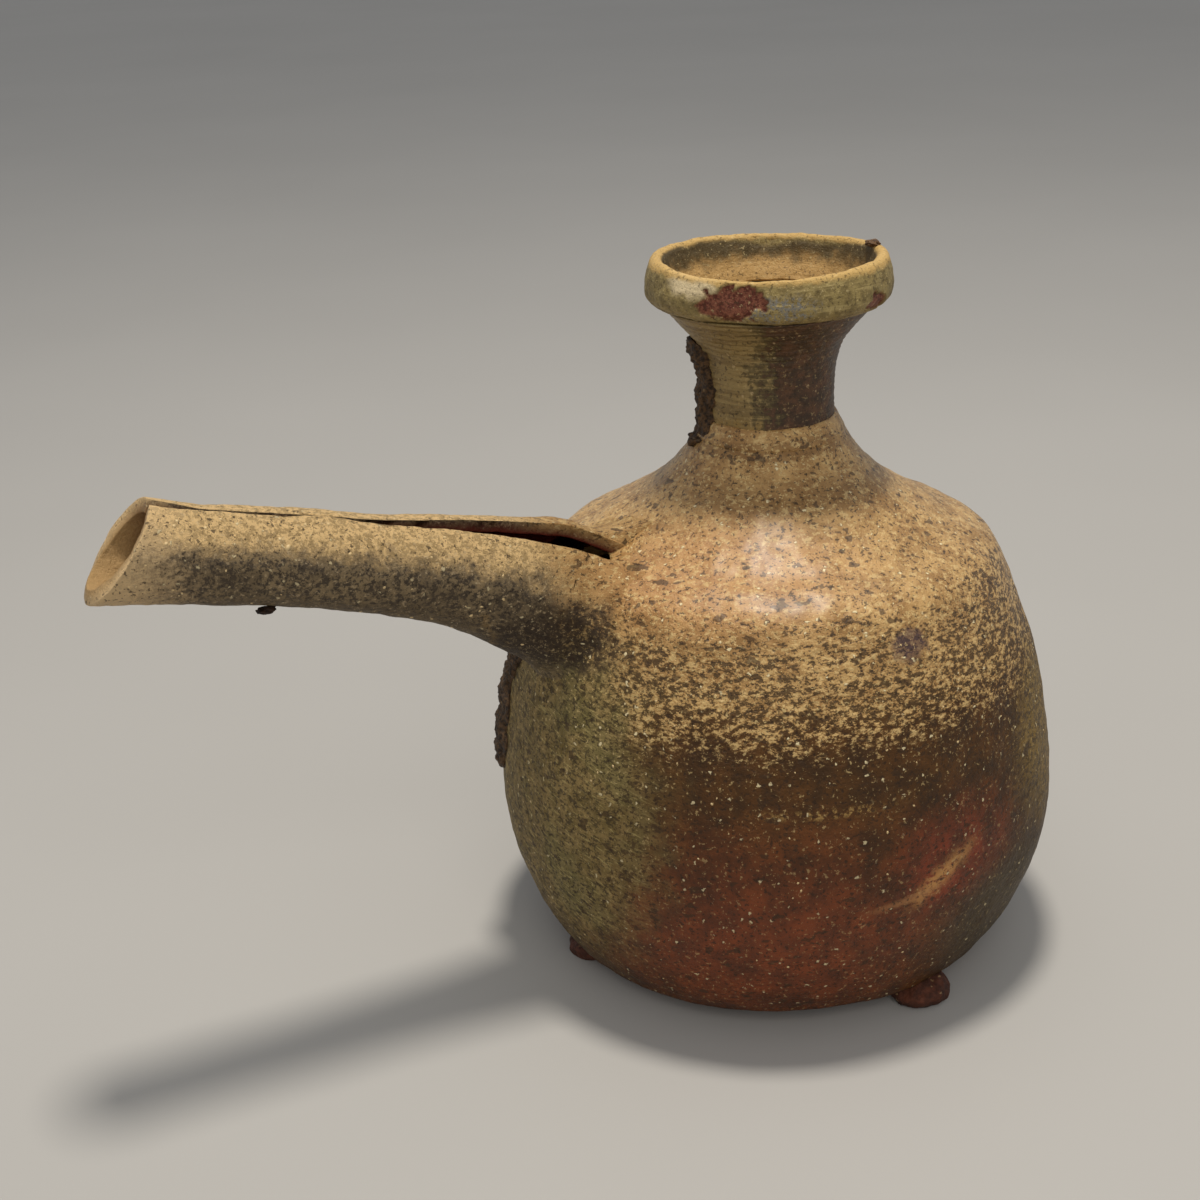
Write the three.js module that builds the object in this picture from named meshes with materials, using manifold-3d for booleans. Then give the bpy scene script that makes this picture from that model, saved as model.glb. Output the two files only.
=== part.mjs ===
import * as THREE from 'three';
import { mergeVertices } from 'three/addons/utils/BufferGeometryUtils.js';
import Module from 'manifold-3d';

// A wood-fired stoneware pouring flask: a thrown belly on a flat base slab and three pellet feet,
// a separately thrown neck with a collar round its mouth, and a long spout rolled from a slab,
// whose seam is left open on top. Millimetres, +Z up, feet on z = 0, spout along -X.

// Driving dimensions
const SPOUT_REACH = 177.3;
const BELLY_RADIUS = 74.8;
const BELLY_WALL = 5;
const BASE_LEVEL = 1.8;
const BASE_EDGE_RADIUS = 54.5;
const BASE_TOP_RADIUS = 61.3;
const BASE_TOP = 6.2;
const NECK_JOINT = 143;
const NECK_WALL = 4;
const NECK_TOP = 177;
const NECK_FOOT_RADIUS = 17.2;
const LUTING_TOP = 148.4;
const LUTING_RADIUS = 19.7;
const SPOUT_WALL = 3.3;
const FEET = [
  { radius: 55.5, azimuth: 177.5, size: [7, 7, 4.4] },
  { radius: 58.5, azimuth: 281, size: [8.4, 8.2, 4.6] },
  { radius: 58.5, azimuth: 47.5, size: [8.2, 8.2, 4.4] },
];
const FOOT_LIFT = 2.8;

// A gap is left wherever two pieces meet
const GAP = 0.3;

// The floor footprint runs from the spout's lip to the far side of the belly, and its middle is x = 0
const POT_AXIS_X = (SPOUT_REACH - BELLY_RADIUS) / 2;
const ROUND_STEPS = 40;
const BELLY_STEPS = 22;
const NECK_STEPS = 9;

// How far a cutter runs on past the face that it opens
const CUT_MARGIN = 1;

const wasm = await Module();
wasm.setup();

function finish(color, roughness) {
  return new THREE.MeshStandardMaterial({ color, roughness, metalness: 0 });
}

function addPiece(group, name, geometry, material) {
  const mesh = new THREE.Mesh(geometry, material);
  mesh.name = name;
  group.add(mesh);
}

// Merges shared vertices and drops the slivers that collapse where a profile touches its axis
function toSolid(geometry) {
  const bare = geometry.clone();
  bare.deleteAttribute('normal');
  bare.deleteAttribute('uv');
  const merged = mergeVertices(bare, 1e-4);
  const index = merged.index.array;
  const kept = [];
  for (let i = 0; i < index.length; i += 3) {
    const [a, b, c] = [index[i], index[i + 1], index[i + 2]];
    if (a !== b && b !== c && c !== a) kept.push(a, b, c);
  }
  const mesh = new wasm.Mesh({
    numProp: 3,
    vertProperties: new Float32Array(merged.attributes.position.array),
    triVerts: new Uint32Array(kept),
  });
  return new wasm.Manifold(mesh);
}

function toGeometry(solid) {
  const mesh = solid.getMesh();
  const geometry = new THREE.BufferGeometry();
  geometry.setAttribute('position', new THREE.BufferAttribute(new Float32Array(mesh.vertProperties), 3));
  geometry.setIndex(new THREE.BufferAttribute(new Uint32Array(mesh.triVerts), 1));
  geometry.computeVertexNormals();
  return geometry;
}

// Outlines are lists of [radius, height], walked up the outside and down the inside
function smoothOutline(points, count) {
  const curve = new THREE.SplineCurve(points.map(([r, z]) => new THREE.Vector2(r, z)));
  return curve.getPoints(count).map((p) => [p.x, p.y]);
}

// Moves an upward outline sideways: a positive distance is outwards, away from the axis
function shifted(outline, distance) {
  return outline.map(([r, z], i) => {
    const before = outline[Math.max(i - 1, 0)];
    const after = outline[Math.min(i + 1, outline.length - 1)];
    const [dr, dz] = [after[0] - before[0], after[1] - before[1]];
    const length = Math.hypot(dr, dz);
    return [r + (dz / length) * distance, z - (dr / length) * distance];
  });
}

// Spins an outline round +Z
function turned(outline) {
  const points = outline.map(([r, z]) => new THREE.Vector2(r, z));
  return toSolid(new THREE.LatheGeometry(points, ROUND_STEPS).rotateX(Math.PI / 2));
}

function closedRing(outline) {
  return turned([...outline, outline[0]]);
}

// A wall of even thickness whose two edges are level
function turnedWall(outside, thickness) {
  const bottom = outside[0][1];
  const top = outside[outside.length - 1][1];
  const inside = shifted(outside, -thickness).filter(([, z]) => z > bottom && z < top).reverse();
  const topEdge = [outside[outside.length - 1][0] - thickness, top];
  const bottomEdge = [outside[0][0] - thickness, bottom];
  return closedRing([...outside, topEdge, ...inside, bottomEdge]);
}

// Belly: bulging wall, soft shoulder corner, then a cone that sweeps up to the neck joint
const BELLY_OUTSIDE = smoothOutline([
  [62.2, BASE_TOP + GAP], [68.2, 16.5], [73.4, 32.5], [BELLY_RADIUS, 49], [73.1, 67],
  [69, 86], [61.9, 106], [56.4, 114.6], [44.4, 121], [31.8, 129], [23.4, 137], [19.6, NECK_JOINT],
], BELLY_STEPS);

function bellyEnvelope(grow) {
  return turned([
    [0, BASE_LEVEL - grow], [BASE_EDGE_RADIUS, BASE_LEVEL - grow], [BASE_TOP_RADIUS + grow, BASE_TOP - grow],
    ...shifted(BELLY_OUTSIDE, grow), [0, NECK_JOINT + grow],
  ]);
}

// Neck: a waisted tube that flares to carry the collar
const NECK_OUTSIDE = smoothOutline([
  [NECK_FOOT_RADIUS, NECK_JOINT + GAP], [16.6, 155], [18.2, 165.5], [22.4, 171.8], [27.2, NECK_TOP],
], NECK_STEPS);

const COLLAR_OUTSIDE = [
  [29.6, NECK_TOP + GAP], [31, 179.2], [30.6, 184], [29.6, 187.4], [28, 188.6],
];
const COLLAR_OUTLINE = [
  [22.9, NECK_TOP + GAP], ...COLLAR_OUTSIDE, [26.2, 188.2], [25, 186.2], [24.4, 182],
];

const LUTING_OUTLINE = [
  [NECK_FOOT_RADIUS + GAP, NECK_JOINT + GAP], [LUTING_RADIUS, NECK_JOINT + GAP], [19.2, 145.2],
  [18.2, LUTING_TOP - 0.4], [NECK_FOOT_RADIUS + GAP, LUTING_TOP],
];

// Spout: the roof line and the keel line are guides in the XZ plane, given as [reach, height]
const SPOUT_ROOF = [
  [40, 118.5], [56, 127.6], [68, 131], [84, 134.6], [104.6, 138.8], [124, 143.6],
  [147, 149], [154, 151], [160.4, 153.1],
];
const SPOUT_KEEL = [
  [58, 84], [68, 90], [77, 97], [91.4, 107.3], [111, 115.3], [130.2, 120.9],
  [153, 126.4], [165, 128.8], [SPOUT_REACH, 131.3],
];
const SPOUT_HALF_WIDTHS = [17, 16.5, 15, 13.2, 12, 11.4, 11.2, 11.1, 11];
const SPOUT_STATIONS = 16;
const SECTION_STEPS = 14;

// The seam lies on top, turned a little towards -Y and more so at the root. It gapes at the tip
// and, wider, at the root.
const SEAM_TURN_ROOT = THREE.MathUtils.degToRad(27);
const SEAM_TURN_TIP = THREE.MathUtils.degToRad(7);
const SEAM_CLOSED = 0.7;
const SEAM_TIP = 3.4;
const SEAM_TIP_LENGTH = 12;
const SEAM_ROOT = 8;
const SEAM_ROOT_STARTS = 115.5;
const SEAM_ROOT_WIDEST = 66;
const TIP_REACH = 165;

function seamGap(reach) {
  const tip = THREE.MathUtils.clamp((reach - TIP_REACH + SEAM_TIP_LENGTH) / SEAM_TIP_LENGTH, 0, 1);
  const root = THREE.MathUtils.clamp((SEAM_ROOT_STARTS - reach) / (SEAM_ROOT_STARTS - SEAM_ROOT_WIDEST), 0, 1);
  return SEAM_CLOSED + (SEAM_TIP - SEAM_CLOSED) * tip + (SEAM_ROOT - SEAM_CLOSED) * root;
}

const guide = (points) => new THREE.SplineCurve(points.map(([s, z]) => new THREE.Vector2(s, z)));
const roofCurve = guide(SPOUT_ROOF);
const keelCurve = guide(SPOUT_KEEL);
const widthCurve = guide(SPOUT_HALF_WIDTHS.map((w, i) => [i, w]));

// A section of the spout at u, from 0 at the root to 1 at the tip, grown outwards by grow
function spoutSection(u, grow) {
  const roof = roofCurve.getPoint(u);
  const keel = keelCurve.getPoint(u);
  const halfWidth = widthCurve.getPoint(u).y;
  const scale = (halfWidth + grow) / halfWidth;
  const centre = roof.clone().add(keel).multiplyScalar(0.5);
  const up = roof.clone().sub(keel).multiplyScalar(0.5 * scale);
  const at = (angle) => new THREE.Vector3(
    -(centre.x + up.x * Math.cos(angle)),
    -halfWidth * scale * Math.sin(angle),
    centre.y + up.y * Math.cos(angle),
  );
  return { at, reach: centre.x, radius: halfWidth };
}

// The rolled slab's section: round the outside from one seam edge to the other, and back inside
function slabSection(u, inner, outer, gapWidener) {
  const outside = spoutSection(u, outer);
  const inside = spoutSection(u, inner);
  const half = (seamGap(outside.reach) + gapWidener) / (2 * outside.radius);
  const from = THREE.MathUtils.lerp(SEAM_TURN_ROOT, SEAM_TURN_TIP, u) + half;
  const turn = 2 * Math.PI - 2 * half;
  const ring = [];
  for (let i = 0; i <= SECTION_STEPS; i += 1) ring.push(outside.at(from + (turn * i) / SECTION_STEPS));
  for (let i = SECTION_STEPS; i >= 0; i -= 1) ring.push(inside.at(from + (turn * i) / SECTION_STEPS));
  return ring;
}

function roundSection(u, grow) {
  const section = spoutSection(u, grow);
  const ring = [];
  for (let i = 0; i < 2 * SECTION_STEPS; i += 1) ring.push(section.at((Math.PI * i) / SECTION_STEPS));
  return ring;
}

// Skins a row of sections that have the same even number of points, and closes both ends
function loft(sections) {
  const count = sections[0].length;
  const positions = sections.flat().flatMap((p) => [p.x, p.y, p.z]);
  const faces = [];
  const quad = (a, b, c, d) => faces.push(a, b, c, a, c, d);
  for (let i = 0; i + 1 < sections.length; i += 1) {
    for (let j = 0; j < count; j += 1) {
      const k = (j + 1) % count;
      quad(i * count + j, i * count + k, (i + 1) * count + k, (i + 1) * count + j);
    }
  }
  const last = (sections.length - 1) * count;
  for (let j = 0; j < count / 2 - 1; j += 1) {
    quad(j, count - 1 - j, count - 2 - j, j + 1);
    quad(last + j, last + j + 1, last + count - 2 - j, last + count - 1 - j);
  }
  const geometry = new THREE.BufferGeometry();
  geometry.setAttribute('position', new THREE.Float32BufferAttribute(positions, 3));
  geometry.setIndex(faces);
  const solid = toSolid(geometry);
  if (solid.volume() > 0) return solid;
  geometry.setIndex([...faces].reverse());
  return toSolid(geometry);
}

function sectionsBetween(start, end, steps, sectionAt) {
  return Array.from({ length: steps + 1 }, (_, i) => sectionAt(start + ((end - start) * i) / steps));
}

// A rough lump: a ball with three soft waves over it, each of wave as a share of its radius
const LUMP_WAVES = [4.1, 5.3, 4.7];

function lump({ size, wave, phase }) {
  const geometry = new THREE.IcosahedronGeometry(1, 3);
  const place = geometry.attributes.position;
  for (let i = 0; i < place.count; i += 1) {
    const p = new THREE.Vector3().fromBufferAttribute(place, i);
    const swells = LUMP_WAVES.map((count, axis) => Math.sin(count * p.getComponent(axis) + (axis + 1) * phase));
    p.multiplyScalar(1 + (wave * (swells[0] + swells[1] + swells[2])) / 3);
    place.setXYZ(i, p.x * size[0], p.y * size[1], p.z * size[2]);
  }
  return geometry;
}

// Places a lump at a radius, azimuth in degrees and height, leaning in or out by lean degrees
function lumpOnPot({ radius, azimuth, height, lean = 0, ...form }) {
  const angle = THREE.MathUtils.degToRad(azimuth);
  const geometry = lump(form);
  geometry.rotateY(THREE.MathUtils.degToRad(lean));
  geometry.rotateZ(angle);
  geometry.translate(radius * Math.cos(angle), radius * Math.sin(angle), height);
  return toSolid(geometry);
}

// Cutters, each grown by the gap
const belly = bellyEnvelope(GAP);
const neckCutter = turned([[0, NECK_JOINT - CUT_MARGIN], ...shifted(NECK_OUTSIDE, GAP), [0, NECK_TOP]]);
const lutingCutter = turned([
  [0, NECK_JOINT - CUT_MARGIN], [LUTING_RADIUS + GAP, NECK_JOINT - CUT_MARGIN],
  ...shifted(LUTING_OUTLINE.slice(1), GAP), [0, LUTING_TOP + GAP],
]);
const COLLAR_TOP = COLLAR_OUTSIDE[COLLAR_OUTSIDE.length - 1][1];
const collarCutter = turned([[0, NECK_TOP], ...shifted(COLLAR_OUTSIDE, GAP), [0, COLLAR_TOP + GAP]]);
const BORE_END = 0.4;
const BORE_STATIONS = 6;
const FLOOR_SIZE = 400;
const FLOOR_DEPTH = 40;
const spoutCutter = loft(sectionsBetween(0, 1, SPOUT_STATIONS, (u) => roundSection(u, GAP)));
const boreCutter = loft(sectionsBetween(0, BORE_END, BORE_STATIONS, (u) => roundSection(u, -SPOUT_WALL)));
const floorCutter = toSolid(
  new THREE.BoxGeometry(FLOOR_SIZE, FLOOR_SIZE, FLOOR_DEPTH).translate(0, 0, -FLOOR_DEPTH / 2),
);

const ashGlaze = finish(0x8f7343, 0.45);
const redClay = finish(0x5a2c1f, 0.7);
const spoutClay = finish(0x86714d, 0.7);
const rimClay = finish(0x9b8a5f, 0.6);
const crust = finish(0x33241a, 0.9);

const pot = new THREE.Group();
pot.position.x = POT_AXIS_X;

addPiece(pot, 'base_slab', toGeometry(turned([
  [0, BASE_LEVEL], [BASE_EDGE_RADIUS, BASE_LEVEL], [BASE_TOP_RADIUS, BASE_TOP], [0, BASE_TOP],
])), redClay);

addPiece(pot, 'belly_wall', toGeometry(turnedWall(BELLY_OUTSIDE, BELLY_WALL).subtract(boreCutter)), ashGlaze);
addPiece(pot, 'neck', toGeometry(turnedWall(NECK_OUTSIDE, NECK_WALL)), ashGlaze);
addPiece(pot, 'neck_luting', toGeometry(closedRing(LUTING_OUTLINE)), ashGlaze);
addPiece(pot, 'mouth_collar', toGeometry(closedRing(COLLAR_OUTLINE)), rimClay);

const rolledSlab = loft(sectionsBetween(0, 1, SPOUT_STATIONS, (u) => slabSection(u, -SPOUT_WALL, 0, 0)));
addPiece(pot, 'spout_tube', toGeometry(rolledSlab.subtract(belly)), spoutClay);

// The clay smeared round the spout's root: thick against the belly, feathered out along the tube
const SMEAR_END = 0.27;
const SMEAR_STATIONS = 5;
const SMEAR_THICKNESS = 4.2;
const SMEAR_THINNEST = 1;
const SMEAR_SEAM_CLEARANCE = 9;
const smear = loft(sectionsBetween(0, SMEAR_END, SMEAR_STATIONS, (u) => {
  const thickness = THREE.MathUtils.lerp(SMEAR_THICKNESS, SMEAR_THINNEST, u / SMEAR_END);
  return slabSection(u, GAP, GAP + thickness, SMEAR_SEAM_CLEARANCE);
}));
addPiece(pot, 'spout_luting', toGeometry(smear.subtract(spoutCutter).subtract(belly)), spoutClay);

const FOOT_WAVE = 0.05;
FEET.forEach((foot, i) => {
  const pellet = lumpOnPot({ ...foot, wave: FOOT_WAVE, phase: i, height: FOOT_LIFT });
  addPiece(pot, `foot_${i + 1}`, toGeometry(pellet.subtract(belly).subtract(floorCutter)), redClay);
});

// Kiln crust: burnt ash and slag stuck to the pot where it stood nearest the fire
const neckCrust = lumpOnPot({
  size: [4.6, 6.5, 14.5], wave: 0.12, phase: 1.3, radius: 18.4, azimuth: 168, height: 155.5, lean: 10,
});
addPiece(pot, 'neck_clinker', toGeometry(
  neckCrust.subtract(neckCutter).subtract(lutingCutter).subtract(belly),
), crust);

const bellyCrust = lumpOnPot({
  size: [4.8, 8, 24], wave: 0.14, phase: 0.4, radius: 70.4, azimuth: 157, height: 74, lean: -10,
});
addPiece(pot, 'belly_clinker', toGeometry(bellyCrust.subtract(belly)), crust);

const rimCrust = lumpOnPot({
  size: [2.4, 3.2, 1.7], wave: 0.1, phase: 2.2, radius: 27.2, azimuth: -14, height: 189,
});
addPiece(pot, 'rim_clinker', toGeometry(rimCrust.subtract(collarCutter)), crust);

const DRIP_PLACE = [-137, -3, 122.6];
const drip = toSolid(lump({ size: [3.4, 2.2, 1.5], wave: 0.08, phase: 0.7 }).translate(...DRIP_PLACE));
addPiece(pot, 'spout_drip', toGeometry(drip.subtract(spoutCutter)), crust);

const flask = new THREE.Group();
flask.add(pot);

export default flask;
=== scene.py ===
import math
import random

import bmesh
import bpy
from mathutils import Matrix, Vector, noise
from mathutils.bvhtree import BVHTree


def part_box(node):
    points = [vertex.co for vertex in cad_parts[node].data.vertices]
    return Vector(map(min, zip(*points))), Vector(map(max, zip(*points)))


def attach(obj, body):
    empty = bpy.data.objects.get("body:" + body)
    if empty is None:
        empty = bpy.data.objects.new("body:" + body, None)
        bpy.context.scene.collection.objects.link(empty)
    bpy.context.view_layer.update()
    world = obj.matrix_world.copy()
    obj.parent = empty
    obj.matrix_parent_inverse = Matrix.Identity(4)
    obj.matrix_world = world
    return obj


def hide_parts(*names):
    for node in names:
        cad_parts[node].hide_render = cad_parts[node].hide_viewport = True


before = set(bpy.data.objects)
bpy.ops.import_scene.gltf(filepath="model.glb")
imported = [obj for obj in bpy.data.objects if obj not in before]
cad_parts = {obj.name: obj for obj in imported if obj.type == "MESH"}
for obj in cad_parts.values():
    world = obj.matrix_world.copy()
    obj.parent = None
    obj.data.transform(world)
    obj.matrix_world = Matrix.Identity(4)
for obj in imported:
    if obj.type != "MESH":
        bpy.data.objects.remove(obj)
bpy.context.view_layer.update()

# The view
# The photograph looks down on the pot from the side, with the spout pointing left and towards
# the eye. The pot's own axis is the middle of its neck.
MM = 0.001
neck_low, neck_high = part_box("neck")
POT_AXIS = Vector(((neck_low[0] + neck_high[0]) / 2, 0, 0))
VIEW_TURN = math.radians(29.5)
CAMERA_DISTANCE = 463.1 * MM
CAMERA_HEIGHT = 285.9 * MM
CAMERA_PITCH = math.radians(22.27)
CAMERA_YAW = math.radians(5.70)
CAMERA_ROLL = math.radians(-2.53)
LENS_MM = 55.5
SENSOR_MM = 36

to_row = Matrix.Rotation(-VIEW_TURN, 4, "Z")
forward = Vector((
    -math.sin(CAMERA_YAW) * math.cos(CAMERA_PITCH),
    math.cos(CAMERA_YAW) * math.cos(CAMERA_PITCH),
    -math.sin(CAMERA_PITCH),
))
level_right = Vector((math.cos(CAMERA_YAW), math.sin(CAMERA_YAW), 0))
level_up = level_right.cross(forward)
right = math.cos(CAMERA_ROLL) * level_right + math.sin(CAMERA_ROLL) * level_up
up = math.cos(CAMERA_ROLL) * level_up - math.sin(CAMERA_ROLL) * level_right
turn = Matrix((right, up, -forward)).transposed().to_4x4()
eye = to_row @ Vector((0, -CAMERA_DISTANCE, CAMERA_HEIGHT)) + POT_AXIS

camera_data = bpy.data.cameras.new("camera")
camera_data.lens = LENS_MM
camera_data.sensor_width = SENSOR_MM
camera_data.clip_start = 0.01
camera = bpy.data.objects.new("camera", camera_data)
camera.matrix_world = Matrix.Translation(eye) @ to_row @ turn
bpy.context.collection.objects.link(camera)
bpy.context.scene.camera = camera
bpy.context.scene.view_settings.view_transform = "Standard"


# The floor and the light
# One lamp hangs high over the pot and a little behind it, so the shadow lies close round the
# foot. A soft grey room fills in the rest.
class Wire:
    """A socket of a material. Sums and products of wires add Math nodes."""

    def __init__(self, tree, socket=None):
        self.tree = tree
        self.socket = socket

    def add(self, kind, settings=None, values=None, output=0):
        node = self.tree.nodes.new(kind)
        for name, value in (settings or {}).items():
            setattr(node, name, value)
        for name, value in (values or {}).items():
            if isinstance(value, Wire):
                self.tree.links.new(value.socket, node.inputs[name])
            else:
                node.inputs[name].default_value = value
        return Wire(self.tree, node.outputs[output]) if node.outputs else Wire(self.tree)

    def math(self, operation, first, second):
        return self.add("ShaderNodeMath", {"operation": operation}, {0: first, 1: second})

    def __add__(self, other):
        return self.math("ADD", self, other)

    def __sub__(self, other):
        return self.math("SUBTRACT", self, other)

    def __rsub__(self, other):
        return self.math("SUBTRACT", other, self)

    def __mul__(self, other):
        return self.math("MULTIPLY", self, other)

    __radd__ = __add__
    __rmul__ = __mul__


def tint(code):
    """A colour written as six hex digits, in linear light."""
    parts = [int(code[i:i + 2], 16) / 255 for i in (0, 2, 4)]
    return [p / 12.92 if p < 0.04045 else ((p + 0.055) / 1.055) ** 2.4 for p in parts] + [1]


def new_material(name):
    material = bpy.data.materials.new(name)
    material.use_nodes = True
    material.node_tree.nodes.clear()
    return material, Wire(material.node_tree)


def close_material(wire, color, rough, height=None, depth=1.0, coat=0.0, specular=0.5):
    """Joins colour, roughness and a height in millimetres to the shader and the output."""
    values = {"Base Color": color, "Roughness": rough, "Coat Weight": coat, "Coat Roughness": 0.34}
    values["Specular IOR Level"] = specular
    if height is not None:
        values["Normal"] = wire.add("ShaderNodeBump", None, {"Height": height, "Distance": depth * MM})
    shader = wire.add("ShaderNodeBsdfPrincipled", None, values)
    wire.add("ShaderNodeOutputMaterial", None, {"Surface": shader})


def mix(factor, first, second):
    return factor.add(
        "ShaderNodeMix", {"data_type": "RGBA"}, {0: factor, 6: first, 7: second}, output=2)


def ease(value, start, end):
    """0 at start and 1 at end, with a soft run between; start may be the larger."""
    return value.add(
        "ShaderNodeMapRange", {"interpolation_type": "SMOOTHSTEP"},
        {"Value": value, "From Min": start, "From Max": end})


def cloud(point, size, detail=4, rough=0.55, warp=0.0):
    """Soft noise from 0 to 1 whose blotches are about size millimetres wide."""
    return point.add("ShaderNodeTexNoise", None, {
        "Vector": point, "Scale": 1 / size, "Detail": detail, "Roughness": rough, "Distortion": warp})


FLOOR_SIZE = 16
floor_bm = bmesh.new()
bmesh.ops.create_grid(floor_bm, x_segments=8, y_segments=8, size=FLOOR_SIZE / 2)
floor_mesh = bpy.data.meshes.new("floor")
floor_bm.to_mesh(floor_mesh)
floor_bm.free()
floor = bpy.data.objects.new("floor", floor_mesh)
bpy.context.collection.objects.link(floor)
floor_material, wire = new_material("floor")
floor_point = wire.add("ShaderNodeTexCoord", output=3)
floor_tone = cloud(floor_point, 0.4, 3)
close_material(wire, mix(floor_tone, tint("a5a29d"), tint("afaca7")), 0.62, specular=0.3)
floor.data.materials.append(floor_material)

LAMP_HEIGHT = 1.35
LAMP_SIZE = 0.22
LAMP_POWER = 14
lamp_data = bpy.data.lights.new("overhead_lamp", "AREA")
lamp_data.shape = "DISK"
lamp_data.size = LAMP_SIZE
lamp_data.energy = LAMP_POWER
lamp_data.color = (1, 0.95, 0.87)
lamp = bpy.data.objects.new("overhead_lamp", lamp_data)
lamp.location = POT_AXIS + to_row @ Vector((0.02, 0.03, LAMP_HEIGHT))
bpy.context.collection.objects.link(lamp)

front_data = bpy.data.lights.new("front_fill", "AREA")
front_data.size = 1.0
front_data.energy = 7
front_data.color = (1, 0.97, 0.93)
front = bpy.data.objects.new("front_fill", front_data)
front_place = to_row @ Vector((0.25, -1.3, 0.9))
front.location = POT_AXIS + front_place
front.visible_glossy = False
front.rotation_euler = (-front_place).to_track_quat("-Z", "Y").to_euler()
bpy.context.collection.objects.link(front)

world = bpy.data.worlds.new("room")
world.use_nodes = True
world.node_tree.nodes["Background"].inputs["Color"].default_value = (0.95, 0.97, 1, 1)
world.node_tree.nodes["Background"].inputs["Strength"].default_value = 0.42
bpy.context.scene.world = world

# Belly
# Thrown stoneware: a bulging wall with a soft shoulder, beaten a little square while leather
# hard, with a hole cut for the spout. Ash from the fire melted to honey glaze on the shoulder,
# and the lower wall stayed rust red where flame, not ash, reached it.
BELLY_WALL = 5
belly_low, belly_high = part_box("belly_wall")
BELLY_RADIUS = (belly_high[0] - belly_low[0]) / 2 / MM
BELLY_BOTTOM = belly_low[2] / MM
BELLY_TOP = belly_high[2] / MM
BELLY_KNOTS = [
    (62.2, BELLY_BOTTOM), (68.2, 16.5), (73.4, 32.5), (BELLY_RADIUS, 49), (73.1, 67),
    (69, 86), (61.9, 106), (56.4, 114.6), (44.4, 121), (31.8, 129), (23.4, 137), (19.6, BELLY_TOP),
]


def along(knots, u):
    """The point at u, from 0 to 1, of the smooth curve through the knots."""
    last = len(knots) - 1
    i = min(int(u * last), last - 1)
    f = u * last - i
    a, b, c, d = (Vector(knots[min(max(i + k, 0), last)]) for k in (-1, 0, 1, 2))
    return 0.5 * (2 * b + (c - a) * f + (2 * a - 5 * b + 4 * c - d) * f * f
                  + (3 * b - a - 3 * c + d) * f ** 3)


def outline(knots, count):
    return [along(knots, i / count) for i in range(count + 1)]


def inset(points, distance):
    """The same outline moved sideways, towards the axis of an upward one."""
    moved = []
    for i, p in enumerate(points):
        run = points[min(i + 1, len(points) - 1)] - points[max(i - 1, 0)]
        run.normalize()
        moved.append(p + Vector((-run.y, run.x)) * distance)
    return moved


def turned(profile, steps):
    """A closed outline of (radius, height) in millimetres, spun round the pot's axis."""
    bm = bmesh.new()
    verts = [bm.verts.new((POT_AXIS.x + r * MM, 0, z * MM)) for r, z in profile]
    edges = [bm.edges.new((verts[i - 1], verts[i])) for i in range(len(verts))]
    bmesh.ops.spin(bm, geom=verts + edges, cent=POT_AXIS, axis=(0, 0, 1),
                   angle=2 * math.pi, steps=steps, use_merge=True)
    bmesh.ops.remove_doubles(bm, verts=bm.verts, dist=1e-6)
    bmesh.ops.recalc_face_normals(bm, faces=bm.faces)
    return bm


def photo_mm(point):
    """Millimetres from the pot's axis, with X to the right and Y away in the photograph."""
    return Matrix.Rotation(VIEW_TURN, 3, "Z") @ (point - POT_AXIS) / MM


def push(bm, depth):
    """Moves each vertex along its normal by depth(point in millimetres), in millimetres."""
    bm.normal_update()
    for vert, normal in [(v, v.normal.copy()) for v in bm.verts]:
        vert.co += normal * depth(photo_mm(vert.co)) * MM


def ripple(point, size):
    return noise.noise(point / size)


def finished(bm, name, material, nodes):
    """The piece as a smooth object that stands for its CAD nodes."""
    mesh = bpy.data.meshes.new(name)
    bm.to_mesh(mesh)
    bm.free()
    mesh.shade_smooth()
    mesh.materials.append(material)
    piece = bpy.data.objects.new(name, mesh)
    bpy.context.collection.objects.link(piece)
    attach(piece, "root")
    if nodes:
        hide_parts(*nodes)
    return piece


def photo_point(wire):
    """Object coordinates as photo_mm gives them."""
    centre = Matrix.Rotation(VIEW_TURN, 3, "Z") @ POT_AXIS
    return wire.add("ShaderNodeMapping", None, {
        "Vector": wire.add("ShaderNodeTexCoord", output=3),
        "Location": -centre / MM,
        "Rotation": (0, 0, VIEW_TURN),
        "Scale": (1 / MM, 1 / MM, 1 / MM),
    })


def part_of(point, axis):
    return point.add("ShaderNodeSeparateXYZ", None, {"Vector": point}, output="XYZ".index(axis))


def patch(point, centre, radii, ragged=0.35, size=9, soft=0.25, lean=0):
    """1 inside an egg-shaped patch, in millimetres, with a ragged, soft edge."""
    offset = point.add("ShaderNodeVectorMath", {"operation": "SUBTRACT"}, {0: point, 1: centre})
    if lean:
        offset = point.add("ShaderNodeVectorRotate", {"rotation_type": "Y_AXIS"},
                           {"Vector": offset, "Angle": math.radians(lean)})
    scaled = point.add("ShaderNodeVectorMath", {"operation": "DIVIDE"}, {0: offset, 1: radii})
    reach = point.add("ShaderNodeVectorMath", {"operation": "LENGTH"}, {0: scaled}, output=1)
    uneven = reach + (cloud(point, size) - 0.5) * (2 * ragged)
    return ease(uneven, 1 + soft, 1 - soft)


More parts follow.
